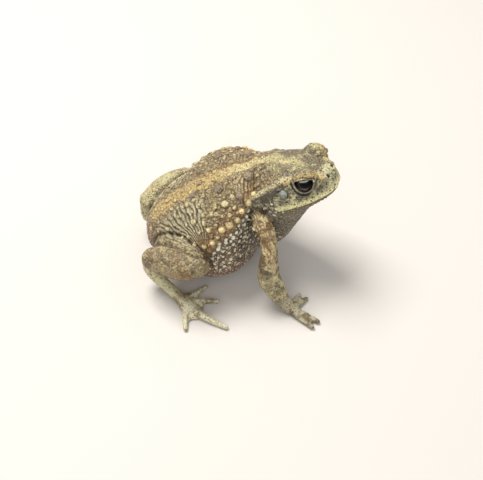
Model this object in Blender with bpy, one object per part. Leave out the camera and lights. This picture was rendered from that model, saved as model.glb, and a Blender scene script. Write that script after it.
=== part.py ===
# Miyako toad, life size, sitting up on its straight forelegs with its head turned to its right.
# The toad faces +X, its left is +Y, and it sits on the plane z = 0.
# Sizes below are in the millimetres of a toad 60 mm from snout to vent, and UNIT turns them into metres.

import math
import random

import bmesh
import bpy
from mathutils import Matrix, Vector
from mathutils.bvhtree import BVHTree

# Driving dimensions
SNOUT_VENT = 0.060  # metres, snout tip to vent
UNIT = SNOUT_VENT / 60.0  # metres for each millimetre of the 60 mm toad
GAP = 0.3  # between nodes that touch
SEED = 11
SIDES = {"right": -1, "left": 1}
FLOOR_CUT = ((-90, -90, -30), (90, 90, 0))  # the block that cuts the flats it sits on
SLAB_REACH = 60.0  # half width of the slab that cuts one side of a body away
SLAB_DEPTH = 120.0
MERGE_DISTANCE = 0.0001  # points closer than this are one point
SHARP_ANGLE = math.radians(40.0)

# Head frame: its origin on the floor below the back of the head, turned to the toad's right
HEAD_PIVOT = Vector((8.0, 1.8, 0.0))
HEAD_YAW = math.radians(-20.0)
NECK_START, NECK_END = -3.0, 13.0  # x where the spine starts and ends its turn

# Trunk sections, tail to neck: x, middle y, top z, bottom z, half width
TRUNK = [
    (-27.6, 0.0, 13.2, 11.2, 0.9),
    (-27.2, 0.0, 15.0, 9.0, 2.8),
    (-26.2, 0.0, 17.6, 6.8, 4.9),
    (-24.0, 0.0, 20.6, 4.2, 7.2),
    (-21.0, 0.1, 23.9, 2.0, 9.2),
    (-17.5, 0.2, 26.9, 0.4, 11.4),
    (-13.5, 0.3, 30.3, -0.3, 14.6),
    (-9.8, 0.5, 32.7, -0.3, 17.2),
    (-5.5, 0.8, 34.6, 0.3, 18.0),
    (-2.0, 1.0, 35.7, 0.5, 17.2),
    (1.5, 1.3, 36.6, 1.1, 15.0),
    (5.0, 1.6, 37.5, 2.4, 12.0),
]
ROUNDNESS = (2.2, 1.8)  # exponent of the trunk's superellipse at the belly and at the neck
BELLY_ROUNDNESS = 2.35  # the same below the flanks
TRUNK_ANGLES = (90.0, 52.0, 12.0, -24.0, -56.0, -90.0)

# Head sections, nape to snout, in the head frame: forward, top z, canthus half width, canthus z,
# lip half width, mouth z, chin z
HEAD = [
    (0.0, 38.2, 5.5, 35.2, 10.4, 28.0, 3.9),
    (2.0, 38.5, 5.5, 36.0, 10.3, 28.0, 4.8),
    (4.0, 38.8, 5.5, 36.9, 10.4, 28.1, 6.0),
    (6.0, 39.0, 5.5, 37.6, 10.5, 28.3, 8.2),
    (8.0, 39.2, 5.5, 38.2, 10.4, 28.9, 12.0),
    (11.0, 39.3, 5.4, 38.7, 9.7, 30.2, 19.4),
    (14.0, 39.1, 4.7, 38.6, 8.5, 31.5, 27.0),
    (16.5, 38.7, 3.5, 38.1, 6.8, 32.4, 30.0),
    (18.5, 37.9, 2.5, 37.2, 5.0, 33.1, 31.2),
    (19.8, 36.7, 1.7, 36.1, 3.3, 33.6, 32.2),
    (20.5, 35.5, 0.8, 35.2, 1.6, 34.0, 33.3),
]
CHEEK_OUT, CHEEK_DOWN = 0.72, 0.42  # cheek point, as shares of the way from canthus to lip
JAW_IN, JAW_DOWN = 0.78, 0.68  # jaw point, as shares of the lip's width and of mouth to chin
CORE_SIDES = 30
CORE_RINGS = 44
LIP_SAMPLES = 61  # points read along the head sections for the mouth's line

NECK_CUT = ((-0.5, 38.0), (6.5, 18.0))  # the cut behind the head at two heights: forward, z

EYE_PLACE = (12.2, 5.3, 37.2)  # forward, sideways, z
EYE_RADIUS = 2.85
EYE_AIM = (0.10, 1.0, 0.22)  # forward, sideways, up
EYE_TILT = math.radians(20.0)  # front corner of the lids above the back one
ORBIT_RADII = (3.6, 3.5, 3.5)
EYE_OPENING = (2.75, 1.9)  # half width and half height of the gap between the lids
OPENING_ENDS = ((0.5, 0.9), (5.85, 1.25))  # distance from the eye's centre, and share of that size
OPENING_CORNER = 0.15  # how much lower the gap is at its corners
OPENING_SIDES = 20
EYE_DETAIL = (16, 11)
ORBIT_DETAIL = (18, 12)
NOSTRIL_PLACE = (17.7, 2.0, 44.0)  # the ray that finds it comes down from here
NOSTRIL_RADII = (0.1, 0.7)  # at the bottom and above the skin
NOSTRIL_DEPTH, NOSTRIL_OUT = 0.8, 1.0
NOSTRIL_SIDES = 8
EAR_PLACE = (6.7, 33.8)  # forward, z
EAR_RADIUS, EAR_RIM_RADIUS = 1.2, 1.08
EAR_DEPTH = 0.9
EAR_PROUD = 0.1
EAR_CUT_OUT = 2.0
EAR_SIDES = 16
MOUTH_CORNER = 7.6  # forward
MOUTH_DEPTH, MOUTH_OUT = 0.9, 1.6  # inside and outside the lips' line
MOUTH_GAPE, MOUTH_ROOT = 0.36, 0.12  # height of the cut outside and at its bottom
# Gland behind the eye, in the head frame: forward, sideways, z, radius
PAROTOID = [(8.4, 5.9, 35.9, 1.1), (6.0, 7.0, 34.2, 1.7), (2.2, 8.6, 31.9, 2.3), (-1.0, 10.5, 30.0, 1.9)]
LEFT_GLAND_SHIFT = (0.5, 1.3)  # outward, down
PAROTOID_DETAIL = (12, 9)  # sides and rings, here and below

# Limbs of the right side, each point with its radius: x, y, z, radius
ARM = [
    (3.5, -6.5, 25.0, 3.0),
    (5.6, -10.8, 24.4, 2.9),
    (7.3, -13.8, 22.2, 2.4),
    (7.8, -16.5, 18.6, 2.4),
    (7.4, -18.6, 14.0, 3.0),
    (8.0, -19.8, 10.4, 3.4),
    (9.6, -20.7, 6.9, 3.0),
    (11.3, -21.8, 4.0, 2.3),
    (13.0, -22.9, 2.1, 2.0),
]
ARM_DETAIL = (12, 18)
ELBOW, WRIST = 52, 86  # hundredths of the arm's length
PALM = [(12.0, -22.2, 2.9, 1.9), (13.6, -23.3, 1.6, 1.9), (15.2, -24.0, 1.1, 1.5)]
PALM_DETAIL = (10, 5)
FINGERS = [
    [(13.2, -22.4, 1.5, 1.1), (15.2, -20.4, 1.0, 0.9), (16.8, -18.2, 0.8, 0.7)],
    [(14.0, -23.0, 1.5, 1.1), (16.6, -21.4, 1.05, 0.9), (18.8, -19.5, 0.8, 0.7)],
    [(14.2, -23.6, 1.5, 1.2), (17.6, -25.4, 1.1, 0.95), (21.4, -27.9, 0.8, 0.75)],
    [(14.0, -24.0, 1.4, 1.2), (16.8, -27.0, 1.1, 0.95), (19.6, -29.7, 0.8, 0.75)],
]
FINGER_DETAIL = (6, 5)
THIGH = [
    (-20.5, -4.0, 12.0, 5.0),
    (-19.0, -8.6, 13.0, 5.8),
    (-16.0, -12.8, 14.6, 5.4),
    (-14.0, -15.6, 15.5, 4.5),
    (-12.9, -17.2, 15.7, 3.8),
]
THIGH_DETAIL = (14, 8)
SHANK = [
    (-12.4, -18.7, 15.9, 3.3),
    (-15.0, -18.0, 15.4, 4.1),
    (-18.2, -16.4, 14.6, 4.8),
    (-22.2, -14.2, 13.6, 4.6),
    (-25.2, -12.7, 12.6, 3.5),
]
SHANK_DETAIL = (14, 9)
TARSUS = [
    (-26.0, -12.2, 11.0, 2.6),
    (-26.2, -12.0, 7.4, 2.3),
    (-24.2, -12.9, 3.9, 1.9),
    (-20.6, -15.9, 2.3, 1.7),
    (-17.8, -18.9, 1.7, 1.6),
]
TARSUS_DETAIL = (10, 11)
SOLE = [(-18.4, -18.2, 1.6, 1.8), (-16.6, -20.2, 1.4, 2.3), (-15.2, -22.0, 1.1, 2.2)]
TOES = [
    [(-17.2, -17.8, 1.3, 1.0), (-15.8, -16.8, 0.9, 0.8), (-14.6, -16.2, 0.7, 0.65)],
    [(-16.6, -19.0, 1.3, 1.1), (-13.4, -16.4, 1.0, 0.9), (-10.6, -13.9, 0.7, 0.65)],
    [(-16.4, -20.2, 1.3, 1.2), (-11.8, -19.4, 1.0, 0.95), (-7.3, -19.5, 0.75, 0.7)],
    [(-15.8, -21.4, 1.3, 1.4), (-11.2, -25.4, 1.15, 1.15), (-4.9, -29.0, 0.75, 0.75)],
    [(-16.0, -21.8, 1.2, 1.3), (-16.6, -25.8, 1.05, 1.0), (-16.5, -29.2, 0.75, 0.7)],
]
CHEST_MIDDLE = 0.8  # y that the arms mirror about
LEFT_SHOULDER_DROP = 1.8
DROP_START, DROP_HEIGHT = 12.0, 12.0  # z where it begins, and the height it grows over
LEFT_LEG_SHIFT = (1.5, 1.8)  # back, inward
WEB_REACH = 0.56  # share of each toe that is webbed
WEB_LOW, WEB_THICKNESS = 0.15, 0.9
WEB_HOLLOW = 0.26
WEB_ROWS = 3
WEB_ROOT = 0.05
TOE_DETAIL = (6, 6)
ROUND_CAPS = (0.45, 0.8, 0.98)  # a round end's rings, as shares of its radius along the limb
DIGIT_CAPS = (0.6, 0.95)
PATH_SAMPLES = 101

# Warts: on each flank a row of large ones from the parotoid down and back, and smaller ones at large
WART_ROW_COUNT = 9
WART_ROW_X = (1.4, -9.9)
WART_ROW_ANGLE = (38.0, 84.0)  # degrees from straight up, about the trunk's middle
WART_ROW_RADIUS = (1.0, 1.2)
WART_COUNT = 56
WART_X = (-23.0, 5.0)
WART_ANGLE = (12.0, 108.0)
WART_RADIUS = (0.55, 0.95)
WART_SINK = 0.25  # share of its radius that a wart's middle lies below the skin
WART_HEIGHT = 0.8  # its height as a share of its radius, from its middle
WART_WOBBLE = 0.5  # mm back and forth
WART_TURN = 4.0  # degrees for each mm of wobble
WART_SPACING = 1.25  # least distance between two middles, in their radii together
WART_FLOOR = 3.0  # least height above the floor, in radii
WART_NECK = 1.2  # least distance from the neck's cut, in radii
WART_DETAIL = (7, 6)
TRUNK_AXIS = (0.6, 18.0)  # y and z that the warts' angles turn about

SKIN = ((0.31, 0.24, 0.12, 1.0), 0.6)
EYE = ((0.02, 0.015, 0.01, 1.0), 0.1)


def catmull(rows, count):
    # Rows of numbers as one smooth curve through them, read at count even steps
    rows = [Vector(row) for row in rows]
    last = len(rows) - 1
    out = []
    for i in range(count):
        s = i * last / (count - 1)
        k = min(int(s), last - 1)
        t = s - k
        b, c = rows[k], rows[k + 1]
        a = rows[k - 1] if k else 2 * b - c
        d = rows[k + 2] if k + 2 <= last else 2 * c - b
        bend = (c - a) * t + (2 * a - 5 * b + 4 * c - d) * t**2 + (3 * b - a - 3 * c + d) * t**3
        out.append(b + 0.5 * bend)
    return out


def smoothstep(x):
    x = min(max(x, 0.0), 1.0)
    return x * x * (3.0 - 2.0 * x)


def lerp(a, b, t):
    return a + (b - a) * t


def head_point(forward, side, z):
    # A place in the head frame, where side runs to the toad's left
    turn = Matrix.Rotation(HEAD_YAW, 3, "Z")
    return HEAD_PIVOT + turn @ Vector((forward, side, z))


def head_direction(forward, side, z):
    return (Matrix.Rotation(HEAD_YAW, 3, "Z") @ Vector((forward, side, z))).normalized()


def mesh_from_rings(rings):
    # A closed skin over rings of points, with a fan on each end ring
    bm = bmesh.new()
    loops = [[bm.verts.new(p) for p in ring] for ring in rings]
    for near, far in zip(loops, loops[1:]):
        count = len(near)
        for i in range(count):
            j = (i + 1) % count
            bm.faces.new((near[i], near[j], far[j], far[i]))
    for loop in (loops[0], loops[-1]):
        tip = bm.verts.new(sum((v.co for v in loop), Vector()) / len(loop))
        for i in range(len(loop)):
            bm.faces.new((loop[i], loop[(i + 1) % len(loop)], tip))
    bmesh.ops.recalc_face_normals(bm, faces=bm.faces)
    mesh = bpy.data.meshes.new("shape")
    bm.to_mesh(mesh)
    bm.free()
    return mesh


def trunk_section(x, y, top, bottom, half):
    back = 2 / lerp(*ROUNDNESS, smoothstep(x / TRUNK[-1][0]))
    middle, height = (top + bottom) / 2, (top - bottom) / 2
    points = []
    for angle in TRUNK_ANGLES:
        c, s = math.cos(math.radians(angle)), math.sin(math.radians(angle))
        power = back if s > 0 else 2 / BELLY_ROUNDNESS
        out = half * abs(c) ** power
        up = middle + height * math.copysign(abs(s) ** power, s)
        points += [out, up]
    points[0] = points[-2] = 0.0
    return [x, y] + points


def head_section(forward, top, brow, brow_z, lip, mouth_z, chin_z):
    place = HEAD_PIVOT + Matrix.Rotation(HEAD_YAW, 3, "Z") @ Vector((forward, 0, 0))
    cheek = (lerp(brow, lip, CHEEK_OUT), lerp(brow_z, mouth_z, CHEEK_DOWN))
    jaw = (lip * JAW_IN, lerp(mouth_z, chin_z, JAW_DOWN))
    return [place.x, place.y, 0.0, top, brow, brow_z, *cheek, lip, mouth_z, *jaw, 0.0, chin_z]


def core_mesh(grow=0.0):
    # Trunk and head as one loft along the spine, which turns at the neck
    stations = [trunk_section(*row) for row in TRUNK] + [head_section(*row) for row in HEAD]
    rings = []
    for row in catmull(stations, CORE_RINGS):
        middle = Vector((row[0], row[1], 0.0))
        yaw = HEAD_YAW * smoothstep((row[0] - NECK_START) / (NECK_END - NECK_START))
        side = Matrix.Rotation(yaw, 3, "Z") @ Vector((0, 1, 0))
        half = [(row[i], row[i + 1]) for i in range(2, len(row), 2)]
        outline = half + [(-out, up) for out, up in half[-2:0:-1]]
        closed = outline[-1:] + outline + outline[:2]
        steps = CORE_SIDES // len(outline)
        ring = []
        for i in range(1, len(outline) + 1):
            a, b, c, d = (Vector(p) for p in closed[i - 1 : i + 3])
            for k in range(steps):
                t = k / steps
                bend = (c - a) * t + (2 * a - 5 * b + 4 * c - d) * t**2 + (3 * b - a - 3 * c + d) * t**3
                flat = b + 0.5 * bend
                ring.append(middle + side * flat.x + Vector((0, 0, flat.y)))
        rings.append(ring)
    mesh = mesh_from_rings(rings)
    if grow:
        swell(mesh, grow)
    return mesh


def swell(mesh, grow):
    normals = [n.vector.copy() for n in mesh.vertex_normals]
    for vertex, normal in zip(mesh.vertices, normals):
        vertex.co += normal * grow


def tube_mesh(rows, sides, rings, grow=0.0, caps=ROUND_CAPS):
    # A limb of round section with round ends, through points that each have a radius
    path = catmull(rows, rings)
    points = [Vector(p[:3]) for p in path]
    radii = [p[3] for p in path]
    first, last = points[0], points[-1]
    start_way = (points[0] - points[1]).normalized()
    end_way = (points[-1] - points[-2]).normalized()
    for cap in caps:
        points.append(last + end_way * radii[rings - 1] * cap)
        radii.append(radii[rings - 1] * math.sqrt(1 - cap**2))
    for cap in caps:
        points.insert(0, first + start_way * path[0][3] * cap)
        radii.insert(0, path[0][3] * math.sqrt(1 - cap**2))
    out = []
    axis_x = None
    for i, point in enumerate(points):
        way = (points[min(i + 1, len(points) - 1)] - points[max(i - 1, 0)]).normalized()
        if axis_x is None:
            axis_x = way.orthogonal().normalized()
        axis_x = (axis_x - way * axis_x.dot(way)).normalized()
        axis_y = way.cross(axis_x)
        ring = []
        for k in range(sides):
            angle = 2 * math.pi * k / sides
            spoke = (axis_x * math.cos(angle) + axis_y * math.sin(angle)) * (radii[i] + grow)
            ring.append(point + spoke)
        out.append(ring)
    return mesh_from_rings(out)


def ball_mesh(place, radii, turn, segments, rings):
    bm = bmesh.new()
    bmesh.ops.create_uvsphere(bm, u_segments=segments, v_segments=rings, radius=1.0)
    matrix = Matrix.Translation(place) @ turn @ Matrix.Diagonal((*radii, 1.0))
    bmesh.ops.transform(bm, matrix=matrix, verts=bm.verts)
    mesh = bpy.data.meshes.new("ball")
    bm.to_mesh(mesh)
    bm.free()
    return mesh


def rod_mesh(start, end, radius_start, radius_end, sides):
    way = (end - start).normalized()
    across = way.orthogonal().normalized()
    other = way.cross(across)
    rings = []
    for place, radius in ((start, radius_start), (end, radius_end)):
        spokes = [2 * math.pi * k / sides for k in range(sides)]
        rings.append([place + (across * math.cos(a) + other * math.sin(a)) * radius for a in spokes])
    return mesh_from_rings(rings)


def box_mesh(low, high):
    bm = bmesh.new()
    bmesh.ops.create_cube(bm, size=1.0)
    low, high = Vector(low), Vector(high)
    size = high - low
    for vertex in bm.verts:
        vertex.co = low + Vector(s * (c + 0.5) for s, c in zip(size, vertex.co))
    mesh = bpy.data.meshes.new("box")
    bm.to_mesh(mesh)
    bm.free()
    return mesh


def slab_mesh(place, way):
    # A thick slab that ends at a place and lies behind it, across a direction
    turn = Vector((0, 0, 1)).rotation_difference(way).to_matrix().to_4x4()
    mesh = box_mesh((-SLAB_REACH, -SLAB_REACH, -SLAB_DEPTH), (SLAB_REACH, SLAB_REACH, 0.0))
    mesh.transform(Matrix.Translation(place) @ turn)
    return mesh


def combine(mesh, others, operation="UNION"):
    # One Boolean of a mesh with a collection of closed meshes, then the collection's objects go
    if not others:
        return mesh
    base = bpy.data.objects.new("base", mesh)
    bpy.context.scene.collection.objects.link(base)
    group = bpy.data.collections.new("group")
    tools = []
    for other in others:
        tool = bpy.data.objects.new("tool", other)
        group.objects.link(tool)
        tools.append(tool)
    bpy.context.scene.collection.children.link(group)
    modifier = base.modifiers.new("combine", "BOOLEAN")
    modifier.operation = operation
    modifier.operand_type = "COLLECTION"
    modifier.collection = group
    modifier.solver = "EXACT"
    modifier.use_self = operation == "UNION"
    graph = bpy.context.evaluated_depsgraph_get()
    result = bpy.data.meshes.new_from_object(base.evaluated_get(graph))
    for thing in [base] + tools:
        bpy.data.objects.remove(thing)
    bpy.data.collections.remove(group)
    return largest_body(result)


def largest_body(mesh):
    bm = bmesh.new()
    bm.from_mesh(mesh)
    bmesh.ops.triangulate(bm, faces=bm.faces)
    bmesh.ops.remove_doubles(bm, verts=bm.verts, dist=MERGE_DISTANCE)
    bmesh.ops.dissolve_degenerate(bm, edges=bm.edges, dist=MERGE_DISTANCE)
    bmesh.ops.triangulate(bm, faces=bm.faces)
    left = set(bm.verts)
    bodies = []
    while left:
        stack = [next(iter(left))]
        body = set(stack)
        while stack:
            vertex = stack.pop()
            for edge in vertex.link_edges:
                other = edge.other_vert(vertex)
                if other not in body:
                    body.add(other)
                    stack.append(other)
        left -= body
        bodies.append(body)
    if len(bodies) > 1:
        def spread(body):
            return sum(face.calc_area() for face in {f for v in body for f in v.link_faces})

        keep = max(bodies, key=spread)
        bmesh.ops.delete(bm, geom=[v for v in bm.verts if v not in keep], context="VERTS")
    result = bpy.data.meshes.new("body")
    bm.to_mesh(result)
    bm.free()
    return result


def bvh_of(mesh):
    return BVHTree.FromPolygons([v.co for v in mesh.vertices], [p.vertices for p in mesh.polygons])


def half_body(mesh, place, way):
    # The part of a mesh on the far side of a plane, half a gap away from it
    way = way.normalized()
    return combine(mesh, [slab_mesh(place + way * GAP / 2, way)], "DIFFERENCE")


def arm_rows(rows, side):
    # The right arm's rows, or the same mirrored about the chest's middle with a lower shoulder
    if side < 0:
        return rows
    drop = [LEFT_SHOULDER_DROP * smoothstep((z - DROP_START) / DROP_HEIGHT) for _, _, z, _ in rows]
    return [(x, 2 * CHEST_MIDDLE - y, z - d, radius) for (x, y, z, radius), d in zip(rows, drop)]


def leg_rows(rows, side):
    # The right leg's rows, or the same mirrored and drawn in a little further
    if side < 0:
        return rows
    back, inward = LEFT_LEG_SHIFT
    return [(x - back, -y - inward, z, radius) for x, y, z, radius in rows]


def web_mesh(toe, other):
    # A thin web between two toes, with a hollow edge
    rings = []
    for k in range(WEB_ROWS + 1):
        reach = round(lerp(WEB_ROOT, WEB_REACH, k / WEB_ROWS) * (PATH_SAMPLES - 1))
        a, b = (catmull(rows, PATH_SAMPLES)[reach] for rows in (toe, other))
        root = (Vector(toe[0][:3]) + Vector(other[0][:3])) / 2
        middle = ((a + b) / 2).to_3d().lerp(root, WEB_HOLLOW * k / WEB_ROWS)
        line = [Vector(a[:3]), middle, Vector(b[:3])]
        for point in line:
            point.z = WEB_LOW
        lift = Vector((0, 0, WEB_THICKNESS))
        rings.append([p + lift for p in line] + line[::-1])
    return mesh_from_rings(rings)


def add_node(name, mesh, finish, parent):
    colour, roughness = finish
    mesh.transform(Matrix.Scale(UNIT, 4))
    mesh.name = name
    mesh.shade_smooth()
    mesh.set_sharp_from_angle(angle=SHARP_ANGLE)
    material = bpy.data.materials.new(name)
    material.use_nodes = True
    shader = material.node_tree.nodes["Principled BSDF"]
    shader.inputs["Base Color"].default_value = colour
    shader.inputs["Roughness"].default_value = roughness
    shader.inputs["Metallic"].default_value = 0.0
    mesh.materials.clear()
    mesh.materials.append(material)
    node = bpy.data.objects.new(name, mesh)
    node.parent = parent
    bpy.context.scene.collection.objects.link(node)
    return node


def floor_cut(mesh):
    return combine(mesh, [box_mesh(*FLOOR_CUT)], "DIFFERENCE")


def eye_matrix(side):
    # Turn whose z axis is the eye's aim and whose x axis runs along the head
    aim = head_direction(EYE_AIM[0], side * EYE_AIM[1], EYE_AIM[2])
    along = head_direction(math.cos(EYE_TILT), 0, math.sin(EYE_TILT))
    along = (along - aim * along.dot(aim)).normalized()
    up = aim.cross(along)
    return Matrix((along, up, aim)).transposed().to_4x4()


def eye_centre(side):
    return head_point(EYE_PLACE[0], side * EYE_PLACE[1], EYE_PLACE[2])


def lid_opening(side):
    # A lens-shaped prism out through the lids
    wide, high = EYE_OPENING
    turn = Matrix.Translation(eye_centre(side)) @ eye_matrix(side)
    rings = []
    for depth, grow in OPENING_ENDS:
        ring = []
        for k in range(OPENING_SIDES):
            angle = 2 * math.pi * k / OPENING_SIDES
            x, y = math.cos(angle), math.sin(angle)
            lid = high * y * grow * (1 - OPENING_CORNER * x * x)
            ring.append(turn @ Vector((wide * x * grow, lid, depth)))
        rings.append(ring)
    return mesh_from_rings(rings)


def mouth_cutter():
    # A thin wedge that follows the lips from one corner of the mouth round the snout to the other
    curve = [row for row in catmull(HEAD, LIP_SAMPLES) if row[0] >= MOUTH_CORNER]
    path = [(row[0], row[4], row[5]) for row in curve[::2]]
    rings = []
    outline = [(f, s, z) for f, s, z in path] + [(f, -s, z) for f, s, z in reversed(path)]
    places = [head_point(*p) for p in outline]
    for i, place in enumerate(places):
        way = places[min(i + 1, len(places) - 1)] - places[max(i - 1, 0)]
        out = way.cross(Vector((0, 0, 1))).normalized()
        if out.dot(place - head_point(MOUTH_CORNER, 0, place.z)) < 0:
            out = -out
        outer, inner = place + out * MOUTH_OUT, place - out * MOUTH_DEPTH
        gape, root = Vector((0, 0, MOUTH_GAPE / 2)), Vector((0, 0, MOUTH_ROOT / 2))
        rings.append([outer + gape, inner + root, inner - root, outer - gape])
    return mesh_from_rings(rings)


def skin_spot(tree, x, angle, side):
    # Where a ray from the trunk's middle, at an angle from straight up, leaves the skin
    start = Vector((x, *TRUNK_AXIS))
    way = Vector((0, side * math.sin(math.radians(angle)), math.cos(math.radians(angle))))
    place, normal, _, _ = tree.ray_cast(start, way)
    return place, normal


def wart_places(tree, others, clear_of_neck):
    # Places, normals and radii of the torso's warts, clear of each other and of the nodes beside it
    rng = random.Random(SEED)
    warts = []

    def add(x, angle, side, radius):
        place, normal = skin_spot(tree, x, angle, side)
        if place is None or place.z < WART_FLOOR * radius or not clear_of_neck(place, radius):
            return False
        if any((place - q).length < WART_SPACING * (radius + r) for q, _, r in warts):
            return False
        if any(other.find_nearest(place, radius + 2 * GAP)[0] for other in others):
            return False
        warts.append((place, normal, radius))
        return True

    for i in range(WART_ROW_COUNT):
        share = i / (WART_ROW_COUNT - 1)
        for side in SIDES.values():
            x, angle = lerp(*WART_ROW_X, share), lerp(*WART_ROW_ANGLE, share)
            wobble = rng.uniform(-WART_WOBBLE, WART_WOBBLE)
            add(x + wobble, angle + WART_TURN * wobble, side, rng.uniform(*WART_ROW_RADIUS))
    left = WART_COUNT
    while left:
        x, angle, side = rng.uniform(*WART_X), rng.uniform(*WART_ANGLE), rng.choice((-1, 1))
        left -= add(x, angle, side, rng.uniform(*WART_RADIUS))
    return warts


def wart_mesh(place, normal, radius):
    turn = normal.to_track_quat("Z", "Y").to_matrix().to_4x4()
    middle = place - normal * radius * WART_SINK
    return ball_mesh(middle, (radius, radius, radius * WART_HEIGHT), turn, *WART_DETAIL)


def ear_pose(tree, side):
    start = head_point(EAR_PLACE[0], side * SLAB_REACH, EAR_PLACE[1])
    place, normal, _, _ = tree.ray_cast(start, head_direction(0, -side, 0))
    return place, normal


def head_turn():
    return Matrix.Rotation(HEAD_YAW, 4, "Z")


def gland_mesh(side, grow=0.0):
    out, down = LEFT_GLAND_SHIFT if side > 0 else (0.0, 0.0)
    rows = [tuple(head_point(f, side * (s + out), z - down)) + (r,) for f, s, z, r in PAROTOID]
    return tube_mesh(rows, *PAROTOID_DETAIL, grow)


def build():
    for thing in list(bpy.data.objects):
        bpy.data.objects.remove(thing)
    nodes = {}
    core = core_mesh()
    core_tree = bvh_of(core)
    grown = core_mesh(GAP)

    cut_top, cut_low = (head_point(f, 0, z) for f, z in NECK_CUT)
    across = head_direction(0, 1, 0)
    neck_way = (cut_low - cut_top).cross(across).normalized()
    if neck_way.dot(head_direction(1, 0, 0)) < 0:
        neck_way = -neck_way
    nodes["torso"] = floor_cut(half_body(core.copy(), cut_top, -neck_way))
    head = half_body(core.copy(), cut_top, neck_way)

    # The lids' bulges join the head before the sockets and the gap between the lids are cut
    orbits = [ball_mesh(eye_centre(s), ORBIT_RADII, head_turn(), *ORBIT_DETAIL) for s in SIDES.values()]
    head = combine(head, orbits)
    cutters = []
    for side in SIDES.values():
        socket = ball_mesh(eye_centre(side), [EYE_RADIUS + GAP] * 3, eye_matrix(side), *EYE_DETAIL)
        cutters.append([socket, lid_opening(side)])
        spot, normal = ear_pose(core_tree, side)
        wide = EAR_RADIUS + GAP
        ends = (spot - normal * EAR_DEPTH, spot + normal * EAR_CUT_OUT)
        cutters.append([rod_mesh(*ends, wide, wide, EAR_SIDES)])
        start = head_point(NOSTRIL_PLACE[0], side * NOSTRIL_PLACE[1], NOSTRIL_PLACE[2])
        hole, rim, _, _ = core_tree.ray_cast(start, Vector((0, 0, -1)))
        ends = (hole - rim * NOSTRIL_DEPTH, hole + rim * NOSTRIL_OUT)
        cutters.append([rod_mesh(*ends, *NOSTRIL_RADII, NOSTRIL_SIDES)])
    cutters.append([mouth_cutter()])
    for tools in cutters:
        head = combine(head, tools, "DIFFERENCE")
    nodes["head"] = head

    for label, side in SIDES.items():
        nodes["eye_" + label] = ball_mesh(eye_centre(side), [EYE_RADIUS] * 3, eye_matrix(side), *EYE_DETAIL)
        spot, normal = ear_pose(core_tree, side)
        ends = (spot - normal * (EAR_DEPTH - GAP), spot + normal * EAR_PROUD)
        nodes["tympanum_" + label] = rod_mesh(*ends, EAR_RADIUS, EAR_RIM_RADIUS, EAR_SIDES)
        nodes["parotoid_" + label] = combine(gland_mesh(side), [grown.copy()], "DIFFERENCE")

        arm = combine(tube_mesh(arm_rows(ARM, side), *ARM_DETAIL), [grown.copy()], "DIFFERENCE")
        arm = combine(arm, [gland_mesh(side, GAP)], "DIFFERENCE")
        path = [Vector(p[:3]) for p in catmull(arm_rows(ARM, side), PATH_SAMPLES)]
        elbow, elbow_way = path[ELBOW], path[ELBOW + 1] - path[ELBOW - 1]
        wrist, wrist_way = path[WRIST], path[WRIST + 1] - path[WRIST - 1]
        nodes["upper_arm_" + label] = half_body(arm.copy(), elbow, -elbow_way)
        forearm = half_body(arm.copy(), elbow, elbow_way)
        nodes["forearm_" + label] = floor_cut(half_body(forearm, wrist, -wrist_way))
        palm = tube_mesh(arm_rows(PALM, side), *PALM_DETAIL)
        fingers = [tube_mesh(arm_rows(rows, side), *FINGER_DETAIL, caps=DIGIT_CAPS) for rows in FINGERS]
        stub = half_body(arm.copy(), wrist, wrist_way)
        hand = combine(palm, fingers + [stub])
        hand = half_body(hand, wrist, wrist_way)
        nodes["hand_" + label] = floor_cut(hand)

        shank_rows = leg_rows(SHANK, side)
        thigh_rows = leg_rows(THIGH, side)
        tarsus_rows = leg_rows(TARSUS, side)
        shank = tube_mesh(shank_rows, *SHANK_DETAIL)
        nodes["shank_" + label] = combine(shank, [grown.copy()], "DIFFERENCE")
        thigh = combine(tube_mesh(thigh_rows, *THIGH_DETAIL), [grown.copy()], "DIFFERENCE")
        nodes["thigh_" + label] = combine(thigh, [tube_mesh(shank_rows, *SHANK_DETAIL, GAP)], "DIFFERENCE")
        tarsus = combine(tube_mesh(tarsus_rows, *TARSUS_DETAIL), [grown.copy()], "DIFFERENCE")
        for rows in (shank_rows, thigh_rows):
            tarsus = combine(tarsus, [tube_mesh(rows, *SHANK_DETAIL, GAP)], "DIFFERENCE")
        nodes["tarsus_" + label] = floor_cut(tarsus)
        sole = tube_mesh(leg_rows(SOLE, side), *PALM_DETAIL)
        toes = [leg_rows(rows, side) for rows in TOES]
        webs = [web_mesh(a, b) for a, b in zip(toes, toes[1:])]
        foot = combine(sole, [tube_mesh(rows, *TOE_DETAIL, caps=DIGIT_CAPS) for rows in toes] + webs)
        foot = combine(foot, [tube_mesh(tarsus_rows, *TARSUS_DETAIL, GAP)], "DIFFERENCE")
        foot = combine(foot, [grown.copy()], "DIFFERENCE")
        nodes["foot_" + label] = floor_cut(foot)

    beside = [bvh_of(mesh) for name, mesh in nodes.items() if name not in ("torso", "head")]

    def clear_of_neck(place, radius):
        return (place - cut_top).dot(neck_way) < -(WART_NECK * radius + GAP)

    warts = [wart_mesh(*wart) for wart in wart_places(core_tree, beside, clear_of_neck)]
    nodes["torso"] = combine(nodes["torso"], warts)

    parent = bpy.data.objects.new("toad", None)
    bpy.context.scene.collection.objects.link(parent)
    low = [min(v.co[i] for m in nodes.values() for v in m.vertices) for i in range(2)]
    high = [max(v.co[i] for m in nodes.values() for v in m.vertices) for i in range(2)]
    parent.location = (-UNIT * (low[0] + high[0]) / 2, -UNIT * (low[1] + high[1]) / 2, 0.0)
    for name, mesh in nodes.items():
        add_node(name, mesh, EYE if name.startswith("eye") else SKIN, parent)


build()
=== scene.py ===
# Miyako toad, life size: one skin over the frame's flesh, with eyeballs and eardrums of their own.
# Shapes are sculpted in the millimetres of a toad 60 mm from snout to vent, then scaled to metres.
import math
import random
from types import SimpleNamespace

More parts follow.
